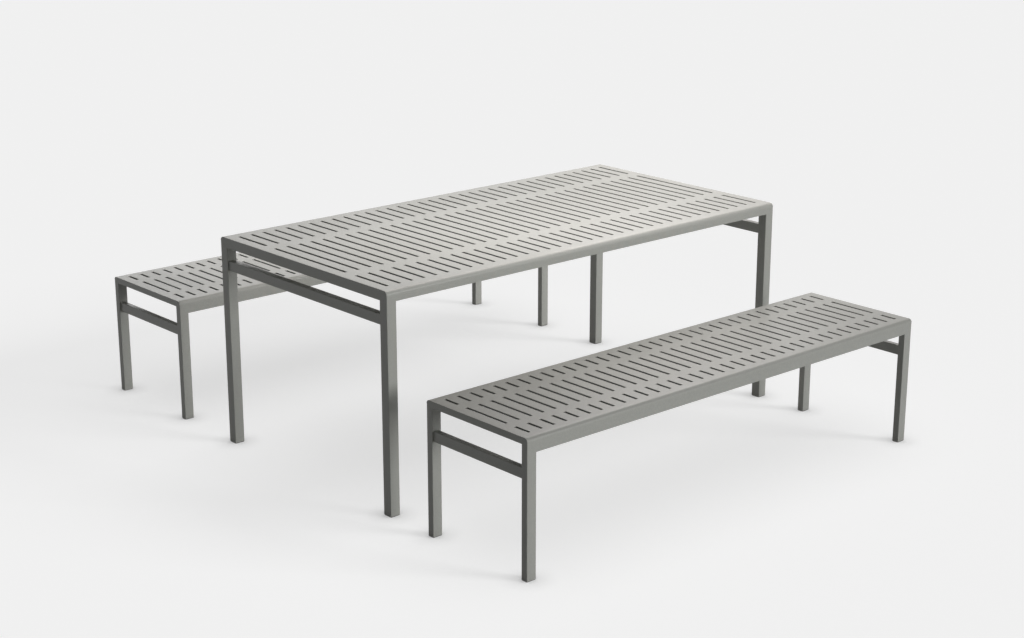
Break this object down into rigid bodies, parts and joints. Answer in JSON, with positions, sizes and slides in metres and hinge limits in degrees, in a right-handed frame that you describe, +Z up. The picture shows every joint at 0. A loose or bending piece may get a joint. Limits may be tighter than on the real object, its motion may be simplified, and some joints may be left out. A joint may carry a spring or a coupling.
{
  "type": "steel picnic table",
  "caption": "Picnic table of slotted, folded steel sheet on end frames of rectangular tube, with a matching loose bench along each long side.",
  "frame": {"origin": "on the floor, at the middle of the box round the table and its benches", "axes": "+X along the table and the benches, +Y across them from the front bench to the back bench, +Z up"},
  "size_m": [1.8, 2.334, 0.75],
  "materials": {
    "sheet_steel": "satin grey powder coat with a fine grain, over slotted steel sheet",
    "frame_steel": "satin grey powder coat with a fine grain, over welded steel tube",
    "glide_plastic": "matte moulded plastic"
  },
  "bodies": {
    "table": {"table_sheet": "sheet_steel", "table_rib_front": "frame_steel", "table_rib_back": "frame_steel", "table_end_rail_left": "frame_steel", "table_end_rail_right": "frame_steel", "table_cross_rail_left": "frame_steel", "table_cross_rail_right": "frame_steel", "table_leg_front_left": "frame_steel", "table_leg_front_right": "frame_steel", "table_leg_back_left": "frame_steel", "table_leg_back_right": "frame_steel", "table_glide_front_left": "glide_plastic", "table_glide_front_right": "glide_plastic", "table_glide_back_left": "glide_plastic", "table_glide_back_right": "glide_plastic"},
    "front_bench": {"front_bench_sheet": "sheet_steel", "front_bench_rib_front": "frame_steel", "front_bench_rib_back": "frame_steel", "front_bench_end_rail_left": "frame_steel", "front_bench_end_rail_right": "frame_steel", "front_bench_cross_rail_left": "frame_steel", "front_bench_cross_rail_right": "frame_steel", "front_bench_leg_front_left": "frame_steel", "front_bench_leg_front_right": "frame_steel", "front_bench_leg_back_left": "frame_steel", "front_bench_leg_back_right": "frame_steel", "front_bench_glide_front_left": "glide_plastic", "front_bench_glide_front_right": "glide_plastic", "front_bench_glide_back_left": "glide_plastic", "front_bench_glide_back_right": "glide_plastic"},
    "back_bench": {"back_bench_sheet": "sheet_steel", "back_bench_rib_front": "frame_steel", "back_bench_rib_back": "frame_steel", "back_bench_end_rail_left": "frame_steel", "back_bench_end_rail_right": "frame_steel", "back_bench_cross_rail_left": "frame_steel", "back_bench_cross_rail_right": "frame_steel", "back_bench_leg_front_left": "frame_steel", "back_bench_leg_front_right": "frame_steel", "back_bench_leg_back_left": "frame_steel", "back_bench_leg_back_right": "frame_steel", "back_bench_glide_front_left": "glide_plastic", "back_bench_glide_front_right": "glide_plastic", "back_bench_glide_back_left": "glide_plastic", "back_bench_glide_back_right": "glide_plastic"}
  },
  "joints": [
    {"name": "front_bench_slide", "type": "slide", "parent": "table", "child": "front_bench", "axis": [0, -1, 0], "range_m": [-0.18, 0.3]},
    {"name": "back_bench_slide", "type": "slide", "parent": "table", "child": "back_bench", "axis": [0, 1, 0], "range_m": [-0.28, 0.3]}
  ]
}
